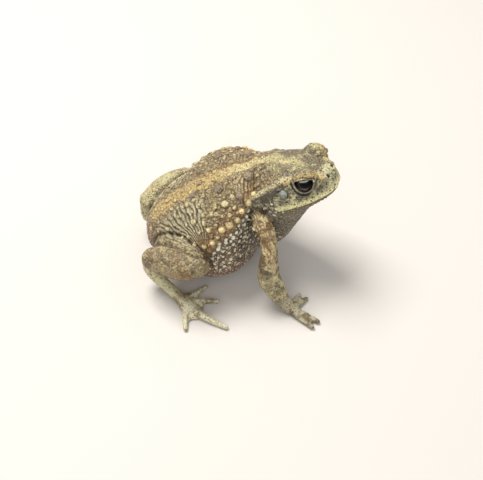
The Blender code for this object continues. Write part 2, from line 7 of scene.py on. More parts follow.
import bmesh
import bpy
import numpy as np
from mathutils import Matrix, Vector, noise
from mathutils.bvhtree import BVHTree
from mathutils.kdtree import KDTree


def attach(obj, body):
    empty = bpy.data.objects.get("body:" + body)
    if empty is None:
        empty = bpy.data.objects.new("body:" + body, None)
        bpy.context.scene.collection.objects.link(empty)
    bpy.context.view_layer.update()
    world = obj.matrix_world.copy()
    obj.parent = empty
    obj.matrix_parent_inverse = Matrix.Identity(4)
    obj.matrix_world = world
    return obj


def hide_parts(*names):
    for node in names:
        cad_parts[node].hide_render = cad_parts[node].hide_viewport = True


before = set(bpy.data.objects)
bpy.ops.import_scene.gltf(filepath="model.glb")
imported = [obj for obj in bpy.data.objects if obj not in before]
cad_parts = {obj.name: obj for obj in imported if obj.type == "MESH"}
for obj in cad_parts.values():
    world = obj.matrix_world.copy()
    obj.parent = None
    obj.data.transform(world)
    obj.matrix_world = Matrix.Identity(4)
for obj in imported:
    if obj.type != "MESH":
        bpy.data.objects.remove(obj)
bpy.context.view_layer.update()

toad = {
    "snoutVent": 0.060,  # metres
    "middle": (-1.18, 0.80, 0.0),  # where the frame's own origin lies in toad millimetres
    "headPivot": (8.0, 1.8),
    "headYaw": math.radians(-20.0),
    "trunkAxis": (0.6, 18.0),  # y and z that angles on the trunk turn about
}
mm = toad["snoutVent"] / 60
toWorld = Matrix.Scale(mm, 4) @ Matrix.Translation(-Vector(toad["middle"]))
toToad = toWorld.inverted()


def ease(low, high, x):
    # Smooth step from 0 at low to 1 at high
    t = np.clip((x - low) / (high - low), 0.0, 1.0)
    return t * t * (3 - 2 * t)


def hill(x, middle, width):
    return np.exp(-(((x - middle) / width) ** 2))


def headTurn():
    return Matrix.Rotation(toad["headYaw"], 3, "Z")


def headPoint(forward, side, z):
    return Vector((*toad["headPivot"], 0.0)) + headTurn() @ Vector((forward, side, z))


def intoHead(points):
    # Forward, sideways and height in the head's own frame, for rows of places
    c, s = math.cos(toad["headYaw"]), math.sin(toad["headYaw"])
    x, y = points[:, 0] - toad["headPivot"][0], points[:, 1] - toad["headPivot"][1]
    return x * c + y * s, y * c - x * s, points[:, 2]


def finish(mesh, name, material, nodes):
    # A finished piece: in metres, smooth, on the toad's one body
    mesh.transform(toWorld)
    mesh.shade_smooth()
    mesh.materials.clear()
    mesh.materials.append(material)
    piece = bpy.data.objects.new(name, mesh)
    bpy.context.scene.collection.objects.link(piece)
    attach(piece, "root")
    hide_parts(*nodes)


def meshFrom(bm, name):
    mesh = bpy.data.meshes.new(name)
    bm.to_mesh(mesh)
    bm.free()
    return mesh


def evaluated(mesh, steps, tools=()):
    # The mesh with modifiers applied; each step is a modifier's type and its settings
    holder = bpy.data.objects.new("holder", mesh)
    bpy.context.scene.collection.objects.link(holder)
    for kind, settings in steps:
        modifier = holder.modifiers.new(kind.lower(), kind)
        for key, value in settings.items():
            setattr(modifier, key, value)
    graph = bpy.context.evaluated_depsgraph_get()
    result = bpy.data.meshes.new_from_object(holder.evaluated_get(graph))
    for thing in (holder, *tools):
        bpy.data.objects.remove(thing)
    return result


def rowsOf(items, name, width, kind=float):
    flat = np.empty(len(items) * width, dtype=kind)
    items.foreach_get(name, flat)
    return flat.reshape(-1, width)


def placesOf(mesh):
    return rowsOf(mesh.vertices, "co", 3)


def edgesOf(mesh):
    return rowsOf(mesh.edges, "vertices", 2, np.int64)


def treeOf(mesh):
    return BVHTree.FromPolygons([v.co for v in mesh.vertices], [p.vertices for p in mesh.polygons])


def relax(values, edges, rounds):
    # Values evened out along the edges
    count = len(values)
    ends = np.concatenate([edges[:, 0], edges[:, 1]])
    others = np.concatenate([edges[:, 1], edges[:, 0]])
    degree = np.maximum(np.bincount(ends, minlength=count), 1)
    for _ in range(rounds):
        values = 0.5 * values + 0.5 * np.bincount(ends, values[others], minlength=count) / degree
    return values


def noiseAt(points, size, seed):
    # Soft noise of a given size in millimetres, about -1 to 1, at rows of places
    return np.array([noise.noise(Vector(p) / size + Vector((seed, seed, seed))) for p in points])


def fair(mesh):
    # Evens the surface out and back again, so that thin toes keep their size
    points, edges = placesOf(mesh), edgesOf(mesh)
    for _ in range(skin["fair"]):
        for step in (skin["in"], -skin["out"]):
            even = np.stack([relax(column, edges, 1) for column in points.T], axis=1)
            points = points + 2 * step * (even - points)
    mesh.vertices.foreach_set("co", points.ravel())


print("frame loaded")

# The eyes' places, which the skin and the eyeballs share
eye = {
    "place": (12.2, 5.3, 37.2),  # forward, sideways, height in the head's frame
    "radius": 2.85,
    "aim": (0.10, 1.0, 0.22),
    "tilt": math.radians(20.0),  # front corner above the back one
    "socket": 2.95,
    "cover": 3.3,  # radius of the skin over the ball before the lids part
    "halfWidth": 2.60,
    "chord": 0.85,  # height of the line from corner to corner above the ball's centre
    "upper": 1.00,
    "lower": 2.85,
    "corner": 0.10,
}


def eyeFrame(side):
    # Along the head, up and outwards as axes, at the eye's centre
    aim = (headTurn() @ Vector((eye["aim"][0], side * eye["aim"][1], eye["aim"][2]))).normalized()
    along = headTurn() @ Vector((math.cos(eye["tilt"]), 0, math.sin(eye["tilt"])))
    along = (along - aim * along.dot(aim)).normalized()
    up = along.cross(aim) * side
    forward, out, z = eye["place"]
    turn = Matrix((along, up, aim)).transposed().to_4x4()
    return Matrix.Translation(headPoint(forward, side * out, z)) @ turn


def intoEye(points, side):
    # Along, up and outwards from an eye's centre, for rows of places
    inverse = np.array(eyeFrame(side).inverted())
    local = points @ inverse[:3, :3].T + inverse[:3, 3]
    return local[:, 0], local[:, 1], local[:, 2]


def lidGap(u, v):
    # Millimetres from the edge of the gap between the lids, less than 0 inside it
    v = v - eye["chord"]
    across = u / eye["halfWidth"]
    high = np.where(v > 0, eye["upper"], eye["lower"]) * (1 - eye["corner"] * np.minimum(across**2, 1.5))
    return np.hypot(u, v) * (1 - 1 / np.maximum(np.hypot(across, v / high), 0.01))


skin = {
    "swell": 0.26,  # closes the frame's gaps before the skin is drawn over it
    "voxel": 0.30,
    "fair": 22,  # rounds of smoothing, each of which draws the surface in and lets it out again
    "in": 0.63,
    "out": 0.67,
    "fine": 4.6,  # distance from the eye within which the mesh is twice as fine
    "lidRing": (0.35, 0.6),  # middle and half width of the ring round the lids that is finer again
    "lipFine": 0.7,
    "earFine": 1.9,
    "nostrilFine": 1.5,
    "triangles": 192000,  # what the sculpted skin is thinned to, where it is flattest first
}
face = {
    "nostril": (18.0, 2.2),
    "ear": (7.0, 33.7),
    "earRadius": 1.25,
    "earWide": 1.15,
    "mouthCorner": 7.2,
    # The gland's pale ridge and the dark line below it: forward, sideways, height
    "paleBand": [
        (8.3, 6.6, 37.7), (5.4, 7.3, 36.5), (2.2, 9.0, 35.0),
        (-0.4, 11.2, 32.8), (-1.8, 12.2, 31.0), (-3.2, 12.6, 28.8),
    ],
    "paleWidth": 0.9,
    "darkLine": [
        (6.3, 8.5, 35.2), (5.4, 8.6, 34.6), (3.2, 10.1, 33.2), (1.0, 11.4, 31.7), (-0.6, 12.0, 31.2),
    ],
    "darkWidth": 1.05,
    "cheekStreak": [(9.6, 9.3, 32.4), (11.2, 9.0, 33.0)],
    "canthus": [(14.6, 6.0, 39.0), (16.2, 4.2, 38.6), (17.6, 3.0, 37.6)],
    "lore": [(14.8, 7.2, 36.0), (16.6, 5.4, 35.8), (18.0, 3.8, 35.6)],
    "brow": [
        (7.4, 7.9, 37.4), (9.0, 7.9, 39.8), (11.5, 7.3, 40.9),
        (14.0, 6.3, 40.6), (15.6, 4.7, 39.7), (17.0, 3.3, 38.4),
    ],
    # Lips: forward, half width, height
    "lips": [
        (6.0, 10.45, 28.2), (8.0, 10.4, 28.9), (11.0, 9.7, 30.2),
        (14.0, 8.5, 31.5), (16.5, 6.8, 32.4), (18.5, 5.0, 33.1),
        (19.8, 3.3, 33.6), (20.4, 1.6, 33.9), (20.6, 0.0, 34.0),
    ],
}
eyeNodes = ["eye_right", "eye_left"]
earNodes = ["tympanum_right", "tympanum_left"]
fleshNodes = [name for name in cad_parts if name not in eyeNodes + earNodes]


def ballAt(side, radius, segments):
    # A ball about an eye's centre, its faces outwards on both sides of the head
    bm = bmesh.new()
    bmesh.ops.create_uvsphere(bm, u_segments=segments, v_segments=segments * 2 // 3, radius=radius)
    bmesh.ops.transform(bm, matrix=eyeFrame(side), verts=bm.verts)
    bmesh.ops.recalc_face_normals(bm, faces=bm.faces)
    return meshFrom(bm, "ball")


def fleshMesh():
    # The frame's flesh nodes as closed meshes in toad millimetres, swollen until they meet
    whole = bmesh.new()
    for name in fleshNodes + earNodes:
        part = bmesh.new()
        part.from_mesh(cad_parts[name].data)
        bmesh.ops.transform(part, matrix=toToad, verts=part.verts)
        bmesh.ops.remove_doubles(part, verts=part.verts, dist=0.002)
        part.normal_update()
        for vert in part.verts:
            vert.co += vert.normal * skin["swell"]
        whole.from_mesh(meshFrom(part, name))
    for side in (-1, 1):
        whole.from_mesh(ballAt(side, eye["cover"] + skin["swell"], 32))
    return meshFrom(whole, "flesh")


def lipLine():
    # Places along the mouth from its right corner round the snout to the left one
    rows = np.array(face["lips"])
    steps = np.linspace(0, 1, 60)
    share = np.linspace(0, 1, len(rows))
    f, s, z = (np.interp(steps, share, rows[:, i]) for i in range(3))
    beyond = [row for row in zip(f, s, z) if row[0] >= face["mouthCorner"]]
    return np.array([headPoint(a, side * b, c) for side in (-1, 1) for a, b, c in beyond])


def distanceTo(points, places):
    # Distance from each point to the nearest of some places
    tree = KDTree(len(places))
    for i, place in enumerate(places):
        tree.insert(place, i)
    tree.balance()
    return np.array([tree.find(p)[2] for p in points])


def onSkin(tree, start, way):
    place, normal, _, _ = tree.ray_cast(start, way)
    return place, normal


def refine(mesh, near):
    # The mesh with the edges inside a mask cut in two
    bm = bmesh.new()
    bm.from_mesh(mesh)
    bm.verts.ensure_lookup_table()
    edges = [e for e in bm.edges if near[e.verts[0].index] and near[e.verts[1].index]]
    bmesh.ops.subdivide_edges(bm, edges=edges, cuts=1, use_grid_fill=True, smooth=0.0)
    bmesh.ops.triangulate(bm, faces=[f for f in bm.faces if len(f.verts) > 4])
    return meshFrom(bm, "finer")


def lensTool(side):
    # A prism that parts the lids
    bm = bmesh.new()
    bmesh.ops.create_circle(bm, cap_ends=True, segments=64, radius=1.0)
    for vert in bm.verts:
        x, y = vert.co.x, vert.co.y
        high = eye["upper"] if y > 0 else eye["lower"]
        vert.co = Vector((eye["halfWidth"] * x, high * y * (1 - eye["corner"] * x * x), 0.4))
        vert.co.y += eye["chord"]
    lid = bmesh.ops.extrude_face_region(bm, geom=bm.faces[:])
    top = [g for g in lid["geom"] if isinstance(g, bmesh.types.BMVert)]
    for vert in top:
        vert.co.x *= 1.08
        vert.co.y *= 1.08
        vert.co.z = 6.0
    bmesh.ops.triangulate(bm, faces=bm.faces)
    bmesh.ops.transform(bm, matrix=eyeFrame(side), verts=bm.verts)
    bmesh.ops.recalc_face_normals(bm, faces=bm.faces)
    return bpy.data.objects.new("lens", meshFrom(bm, "lens"))


def socketTool(side):
    return bpy.data.objects.new("socket", ballAt(side, eye["socket"], 42))


def nearFeatures(points):
    # Where the skin is made twice as fine: round the eyes, lips, eardrums and nostrils
    f, s, h = intoHead(points)
    near = distanceTo(points, lipLine()) < skin["lipFine"]
    near |= (np.hypot(f - face["ear"][0], h - face["ear"][1]) < skin["earFine"]) & (np.abs(s) > 6)
    forward, out = face["nostril"]
    near |= (np.hypot(f - forward, np.abs(s) - out) < skin["nostrilFine"]) & (h > 34.5)
    for side in (-1, 1):
        u, v, w = intoEye(points, side)
        near |= (np.sqrt(u**2 + v**2 + w**2) < skin["fine"]) & (w > -0.5)
    return near


def nearLids(points):
    # Where it is made finer again: a ring along the edges of the lids
    near = np.zeros(len(points), dtype=bool)
    middle, half = skin["lidRing"]
    for side in (-1, 1):
        u, v, w = intoEye(points, side)
        ring = np.abs(lidGap(u, v) - middle) < half
        near |= (np.sqrt(u**2 + v**2 + w**2) < skin["fine"]) & (w > 0) & ring
    return near


def skinBase():
    # One closed skin over all the flesh, fair and finer round the face's features, with the lids parted
    base = evaluated(fleshMesh(), [("REMESH", {"mode": "VOXEL", "voxel_size": skin["voxel"]})])
    fair(base)
    print("skin drawn:", len(base.vertices), "points")
    for near in (nearFeatures, nearLids):
        base = refine(base, near(placesOf(base)))
    tools = [make(side) for side in (-1, 1) for make in (socketTool, lensTool)]
    for tool in tools:
        bpy.context.scene.collection.objects.link(tool)
    cuts = [("BOOLEAN", {"operation": "DIFFERENCE", "solver": "MANIFOLD", "object": tool}) for tool in tools]
    base = evaluated(base, [("TRIANGULATE", {})] + cuts, tools)
    print("lids parted:", len(base.vertices), "points")
    return base


def trunkSpot(tree, x, angle, side):
    # A place on the trunk, by x and by degrees from straight up, on one side
    turn = math.radians(angle)
    way = Vector((0, side * math.sin(turn), math.cos(turn)))
    return onSkin(tree, Vector((x, *toad["trunkAxis"])), way)[0]


warts = {
    "seed": 5,
    # How wide and how high a measured wart stands for each millimetre of its radius
    "form": {"pearls": (1.25, 0.95), "pale": (1.35, 0.85), "knobs": (1.15, 0.65), "white": (1.25, 0.80)},
    # The small ones, strewn at random: how many, spacing, range of sizes, and radius and height at size 1
    "strewn": {
        "pale": (90, 2.5, (0.5, 1.1), 0.80, 0.42),
        "brown": (260, 1.5, (0.7, 1.3), 0.70, 0.28),
        "white": (150, 1.45, (0.75, 1.1), 0.62, 0.45),
        "granules": (1800, 0.62, (0.7, 1.3), 0.36, 0.16),
        "jaw": (40, 1.3, (0.7, 1.3), 0.50, 0.30),
        "limbs": (130, 1.9, (0.5, 1.2), 0.62, 0.20),
        "feet": (160, 0.9, (0.7, 1.3), 0.40, 0.12),
        "crown": (150, 1.05, (0.7, 1.3), 0.42, 0.16),
    },
    # The photo's larger warts: x, degrees from straight up and radius, set on both sides.
    # A row of pearls runs from the gland down to the groin
    "pearls": [
        (3.6, 28, 0.75), (2.0, 37, 0.9), (0.2, 45, 0.85), (-1.1, 53, 0.8), (-3.3, 57, 1.05),
        (-5.4, 61, 0.95), (-9.1, 62, 0.75), (-6.7, 68, 0.65), (-8.1, 74, 0.8), (-10.5, 80, 0.75),
    ],
    "pale": [
        (-16.2, 36, 0.55), (-11.9, 38, 0.7), (-7.2, 40, 0.65), (-4.5, 38, 0.95), (-8.3, 47, 0.75),
        (-6.9, 47, 0.6), (-13.3, 56, 0.8), (-10.3, 56, 0.7), (-10.7, 48, 0.6), (-9.4, 19, 0.5),
        (-10.4, 27, 0.6), (-2.4, 31, 0.55), (-1.8, 42, 0.55), (-3.2, 48, 0.6), (-7.1, 57, 0.55),
        (-11.9, 67, 0.5), (-17.6, 51, 0.5), (-14.3, 34, 0.5), (-5.3, 49, 0.4), (-4.0, 18, 0.45),
    ],
    "knobs": [(-6.1, 23, 1.3), (2.3, 13, 1.4), (-0.3, 31, 1.1), (-13.4, 24, 0.95), (-11.5, 9, 0.8)],
    "white": [
        (3.3, 65, 0.65), (0.0, 66, 0.45), (-2.3, 70, 0.65), (-4.4, 74, 0.5), (-2.3, 77, 0.45),
        (1.2, 76, 0.6), (1.9, 82, 0.5), (0.7, 90, 0.5), (-6.6, 81, 0.6),
    ],
}


class Dots:
    # Small domes on the skin: how high each point is raised, and how near to a dome's middle it is
    def __init__(self, points):
        self.points = points
        self.tree = KDTree(len(points))
        for i, place in enumerate(points):
            self.tree.insert(place, i)
        self.tree.balance()
        self.raised = np.zeros(len(points))

    def add(self, places, radius, height, mask=None):
        mask = np.zeros(len(self.points)) if mask is None else mask
        for place, share in places:
            reach = radius * share
            for _, i, d in self.tree.find_range(place, reach):
                dome = 1 - (d / reach) ** 2
                self.raised[i] = max(self.raised[i], height * share * dome**0.8)
                mask[i] = max(mask[i], dome)
        return mask

    def scatter(self, where, count, spacing, sizes, rng):
        # Random places where a mask allows them, no two closer than the spacing
        allowed = np.nonzero(where > 0.5)[0]
        taken = []
        cells = {}
        for _ in range(count * 12):
            if len(taken) == count or not len(allowed):
                break
            place = Vector(self.points[allowed[rng.randrange(len(allowed))]])
            cell = tuple(int(c // spacing) for c in place)
            around = [cells.get((cell[0] + i, cell[1] + j, cell[2] + k), ())
                      for i in (-1, 0, 1) for j in (-1, 0, 1) for k in (-1, 0, 1)]
            if any((place - other).length < spacing for group in around for other in group):
                continue
            cells.setdefault(cell, []).append(place)
            taken.append((place, rng.uniform(*sizes)))
        return taken


def nodeShares(mesh, points, edges):
    # For each flesh node, how much each point belongs to it
    places, faces, owners = [], [], []
    for index, name in enumerate(fleshNodes):
        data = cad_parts[name].data
        start = len(places)
        places += [toToad @ v.co for v in data.vertices]
        faces += [[start + i for i in p.vertices] for p in data.polygons]
        owners += [index] * len(data.polygons)
    tree = BVHTree.FromPolygons(places, faces)
    nearest = np.array([owners[tree.find_nearest(p)[2]] for p in points])
    return {name: relax((nearest == i).astype(float), edges, 8) for i, name in enumerate(fleshNodes)}


class Coat:
    # The skin while it is sculpted: its points in the toad's and the head's frames, its forms and its zones
    def __init__(self, mesh):
        self.mesh = mesh
        self.points, self.edges, self.tree = placesOf(mesh), edgesOf(mesh), treeOf(mesh)
        self.normals = rowsOf(mesh.vertex_normals, "vector", 3)
        self.x, self.y, self.z = self.points.T
        self.f, self.s, self.h = intoHead(self.points)
        middle, height = toad["trunkAxis"]
        self.angle = np.degrees(np.arctan2(np.abs(self.y - middle), self.z - height))
        self.shares = nodeShares(mesh, self.points, self.edges)
        self.change = np.full(len(self.points), -skin["swell"])
        self.masks = {}

    def part(self, *words):
        return np.clip(sum(share for name, share in self.shares.items() if name.startswith(words)), 0, 1)

    def mark(self, name, values):
        # A zone takes the most of what is laid on it
        values = np.clip(values, 0, 1)
        self.masks[name] = np.maximum(self.masks[name], values) if name in self.masks else values

    def alongLine(self, rows, width):
        # 1 on a line through places in the head's frame, on the right side and on the left
        steps = np.linspace(0, 1, 40)
        share = np.linspace(0, 1, len(rows))
        columns = [np.interp(steps, share, [row[i] for row in rows]) for i in range(3)]
        near = np.zeros(len(self.points))
        for side in (-1, 1):
            line = [headPoint(a, side * b, c) for a, b, c in zip(*columns)]
            near = np.maximum(near, hill(distanceTo(self.points, line), 0.0, width))
        return near


trunkMarks = {
    # The gold stripe down the back: x and sideways place, nape to vent
    "stripe": [
        (8, 1.4), (4.3, 0.65), (0, -0.5), (-5.5, -1.3),
        (-11.2, -1.9), (-17, -1.3), (-21.5, -1.1), (-28, -1.6),
    ],
    "stripeWidth": [(-24, 2.2), (-10, 2.0), (2, 1.2), (8, 0.8)],  # x and width, vent to nape
    # Where the pale flank warts end and the dark flank starts: x and degrees from straight up
    "border": [(-14, 92), (-9.7, 84), (-6.5, 68), (-2.3, 57), (2.4, 36), (6, 30)],
    "knee": (-10.0, 0.2),  # x, and height on the slant that the folds are seen from
    "groinFolds": 30.0,  # folds in a radian of their fan, times pi
    "shoulderFold": 1.05,  # millimetres from one fold to the next
    "armFold": 1.0,
    "foldHeight": 0.52,
    "creaseDepth": 0.5,
    # Points along the armpit, where its shadow is painted
    "armpit": [(-1.2, 13.9, 26.0), (1.2, 14.3, 24.4), (1.4, 13.6, 19.0)],
}


def markStripe(coat):
    # The stripe wavers and has a rusty edge; its strength is given back, because the folds stop at it
    x = coat.x
    stripeX, stripeY = zip(*sorted(trunkMarks["stripe"]))
    widthX, widths = zip(*trunkMarks["stripeWidth"])
    wobble = 0.3 * np.sin(x * 1.1) + 0.2 * np.sin(x * 2.3 + 1)
    offset = coat.y + wobble - np.interp(x, stripeX, stripeY)
    width = np.interp(x, widthX, widths)
    stripe = hill(offset, 0, width) * (1 - ease(7, 9, x)) * ease(16, 21, coat.z)
    coat.mark("stripe", stripe * ease(0.3, 0.8, coat.part("torso", "head")))
    coat.mark("front", ease(-10, 3, x))
    coat.mark("rust", hill(offset, width + 0.5, 0.6) * coat.part("torso") * ease(-16, -8, x))
    return stripe


def markFlank(coat):
    # The dark flank below its border, the rust and the pale warts above it, and the belly
    x, trunk = coat.x, coat.part("torso")
    borderX, borderAngle = zip(*trunkMarks["border"])
    border = coat.angle - np.interp(x, borderX, borderAngle)
    coat.mark("flank", ease(3, 11, border) * trunk * ease(-17, -12, x))
    coat.mark("rust", hill(border, -3, 12) * trunk * ease(-14, -10, x) * (1 - ease(3, 6, x)))
    coat.mark("rust", hill(border, -5, 11) * trunk * ease(-14, -11.5, x) * (1 - ease(-9, -7, x)))
    coat.mark("nearRow", hill(border, -14, 20))
    coat.mark("belly", ease(100, 122, coat.angle) * trunk)
    # Painted shadow where the upper arm meets the flank
    coat.mark("armpit", coat.alongLine(trunkMarks["armpit"], 1.2) * coat.part("torso", "upper_arm"))


def groinFan(coat, stripe):
    # Where the groin's folds lie, and their angle as they fan out from the knee, seen from above and aside
    middle = toad["trunkAxis"][0]
    ownSide = np.where(coat.y > middle, 2 * middle - coat.y, coat.y)
    lift = 0.74 * ownSide + 0.67 * coat.z
    kneeX, kneeLift = trunkMarks["knee"]
    fan = np.arctan2(lift - kneeLift, kneeX - coat.x)
    away = np.hypot(lift - kneeLift, kneeX - coat.x)
    groin = np.clip(coat.part("torso") + 0.7 * coat.part("thigh"), 0, 1)
    groin = groin * ease(0.8, 2.0, away) * (1 - ease(13.5, 18, away))
    groin = groin * ease(0.25, 0.5, fan) * (1 - ease(1.4, 1.7, fan)) * (1 - stripe)
    return groin, fan, ownSide


def markFolds(coat, stripe):
    # Folds in the groin, at the shoulder and down the upper arm
    x, z, angle = coat.x, coat.z, coat.angle
    groin, fan, ownSide = groinFan(coat, stripe)
    shoulder = coat.part("torso") * ease(-3.0, -0.8, x) * ease(7, 12, angle) * (1 - ease(26, 44, angle))
    arm = coat.part("upper_arm") * ease(15, 20, z)
    across = 0.94 * x + 0.28 * ownSide + 0.19 * z
    turns = np.where(arm > 0.5, across / trunkMarks["armFold"], x / trunkMarks["shoulderFold"]) * math.pi
    turns = turns + (2.4 + 1.0 * arm) * noiseAt(coat.points, 2.2, 3.0)
    sway = 1.8 * noiseAt(coat.points, 3.4, 5.0) + 1.1 * noiseAt(coat.points, 1.5, 6.0)
    turns = np.where(groin > shoulder, fan * trunkMarks["groinFolds"] + sway, turns)
    uneven = 0.75 + 0.6 * noiseAt(coat.points, 2.6, 8.0)
    folds = np.maximum(groin * (0.25 + 0.8 * uneven), np.maximum(0.55 * shoulder, 0.30 * arm) * uneven)
    ridge = np.abs(np.sin(turns)) ** 0.7
    coat.change += trunkMarks["foldHeight"] * folds * (ridge - 0.7)
    coat.mark("groin", groin)
    coat.mark("folds", folds)
    coat.mark("armTop", arm)
    coat.masks["foldTurns"] = turns


def markCreases(coat):
    # Where a limb lies against the trunk, and the shank against the thigh: sunk in here, and darkened by the
    # material with painted shade
    trunk, thigh, shank = coat.part("torso"), coat.part("thigh"), coat.part("shank")
    crease = 4 * (coat.part("thigh", "shank") * trunk + thigh * shank + coat.part("upper_arm") * trunk)
    coat.mark("crease", crease)
    coat.change -= trunkMarks["creaseDepth"] * np.clip(crease, 0, 1)


def markLimbs(coat):
    tarsus, forearm, hand = coat.part("tarsus"), coat.part("forearm"), coat.part("hand")
    coat.mark("limb", coat.part("upper_arm", "forearm", "thigh", "shank", "tarsus"))
    coat.mark("leg", coat.part("thigh", "shank"))
    # The tarsus's own paler tone, also raised as painted light, and painted light on the far thigh and shank
    # and on the forearm
    coat.mark("paleLimb", tarsus + 0.7 * coat.part("thigh", "shank") * ease(2, 6, coat.y))
    coat.mark("paleLimb", 0.4 * forearm)
    coat.mark("feet", coat.part("foot") + 0.85 * hand + 0.5 * tarsus)
    coat.mark("hands", hand)


def markHead(coat):
    f, s, h, head = coat.f, coat.s, coat.h, coat.part("head")
    coat.mark("gland", coat.part("parotoid"))
    lipF, _, lipZ = (np.array(column) for column in zip(*face["lips"]))
    above = h - np.interp(f, lipF, lipZ)
    jaw = (1 - ease(-1.2, -0.2, above)) * head
    coat.mark("throat", jaw)
    coat.mark("throat", coat.part("torso") * ease(2, 5, coat.x) * ease(75, 95, coat.angle))
    flat = ease(3.5, 5.5, np.abs(s))
    coat.mark("face", head * ease(3, 7, f) * ease(0.0, 0.8, above) * np.maximum(flat, ease(14, 17, f)))
    coat.mark("snout", head * ease(14, 18, f) * ease(-0.3, 0.5, above))
    coat.mark("crown", head * (1 - flat) * ease(34, 36.5, h))
    coat.mark("headPatch", head * hill(f, 5.0, 4.2) * hill(s, -1.1, 1.3) * ease(36, 37, h))
    coat.mark("glandBand", coat.alongLine(face["paleBand"], face["paleWidth"]))
    coat.mark("glandShade", coat.alongLine(face["darkLine"], face["darkWidth"]))
    coat.mark("cheekStreak", coat.alongLine(face["cheekStreak"], 0.4))
    coat.change += 0.26 * coat.masks["glandBand"] * ease(4, -4, s) - 0.30 * coat.masks["glandShade"]
    coat.change += 0.40 * coat.alongLine(face["canthus"], 0.65) - 0.40 * coat.alongLine(face["lore"], 0.9)
    for side in (-1, 1):
        markEye(coat, side)
        markEar(coat, side)
        markNostril(coat, side)
    away = distanceTo(coat.points, lipLine())
    coat.change += 0.14 * hill(away, 0.55, 0.3) * (above > 0) - 0.45 * hill(away, 0.0, 0.22)
    # Painted shade along the mouth's groove
    coat.mark("lips", hill(away, 0.0, 0.26))
    neck = ease(-3, 0, f) * ease(7, 4.5, f) * ease(24, 26, h) * ease(33.5, 31.5, h) * ease(6, 8, np.abs(s))
    coat.mark("neck", neck * coat.part("head", "torso", "parotoid") * (1 - coat.masks["glandBand"]))
    coat.mark("lipEdge", hill(away, 0.9, 1.3) * (above > 0) * head)


def markEye(coat, side):
    # Lids, brow and the folds below the eye, with painted shade along the lids' edges, in their creases and
    # at the rear corner
    u, v, w = intoEye(coat.points, side)
    close = ease(4.9, 4.2, np.sqrt(u**2 + v**2 + w**2)) * ease(-0.6, 0.6, w)
    gap = lidGap(u, v)
    chord = v - eye["chord"]
    upper, lower = ease(-0.1, 0.5, chord), ease(0.3, -0.3, chord)
    lids = 0.20 * hill(gap, 0.25, 0.20) - 0.15 * hill(gap, 0.68, 0.18) + 0.28 * hill(gap, 1.35, 0.50)
    bags = 0.30 * hill(gap, 0.42, 0.30) - 0.34 * hill(gap, 1.10, 0.20) + 0.14 * hill(gap, 1.55, 0.28)
    coat.change += close * (upper * lids + lower * bags)
    rear = ease(1.8, -1.2, u)
    # Painted shade along the lids' edge, in the creases below and above them, and at the rear corner
    coat.mark("lidDark", close * hill(gap, -0.02, 0.16))
    coat.mark("lidDark", close * lower * hill(gap, 1.10, 0.30) * (0.7 + 0.4 * rear))
    coat.mark("lidDark", close * upper * hill(gap, 0.66, 0.20) * (1.0 - 0.5 * rear))
    coat.mark("lidDark", 0.8 * close * hill(u, -3.5, 0.5) * hill(v, -0.2, 1.2))
    coat.mark("lidPale", close * lower * hill(gap, 0.46, 0.34) * (0.6 + 0.5 * rear))
    coat.mark("lidPale", 0.35 * close * upper * hill(gap, 0.25, 0.16))
    coat.mark("brow", coat.alongLine(face["brow"], 1.15) * (1 - close * ease(0.85, 0.55, gap)))


def markEar(coat, side):
    # The hollow that the eardrum lies in, with a low rim, and painted shade over its upper edge
    ear = np.hypot((coat.f - face["ear"][0]) / face["earWide"], coat.h - face["ear"][1]) / face["earRadius"]
    onSide = ease(4, 6, side * coat.s) * coat.part("head", "tympanum", "parotoid")
    coat.change += onSide * (0.10 * hill(ear, 1.30, 0.20) - 0.36 * ease(1.25, 0.95, ear))
    coat.mark("earShade", onSide * hill(ear, 1.05, 0.28) * ease(-0.8, 0.6, coat.h - face["ear"][1]))


def markNostril(coat, side):
    forward, out = face["nostril"]
    hole = onSkin(coat.tree, headPoint(forward, side * out, 60), Vector((0, 0, -1)))[0]
    away = np.linalg.norm(coat.points - np.array(hole), axis=1)
    below = ease(0.5, -0.6, coat.f - forward) * ease(-0.7, 0.3, side * coat.s - out)
    coat.change += (0.12 + 0.26 * below) * hill(away, 1.0, 0.34) - 0.90 * hill(away, 0.0, 0.56)
    # Painted shade in the nostril's pit
    coat.mark("nostril", hill(away, 0.0, 0.72))
    coat.mark("nostrilRim", below * hill(away, 1.10, 0.40))
    onSide = ease(0.3, 1.5, side * coat.s) * coat.part("head")
    coat.mark("snoutBlotch", hill(coat.f, 16.6, 1.1) * hill(coat.h, 36.0, 0.9) * onSide)


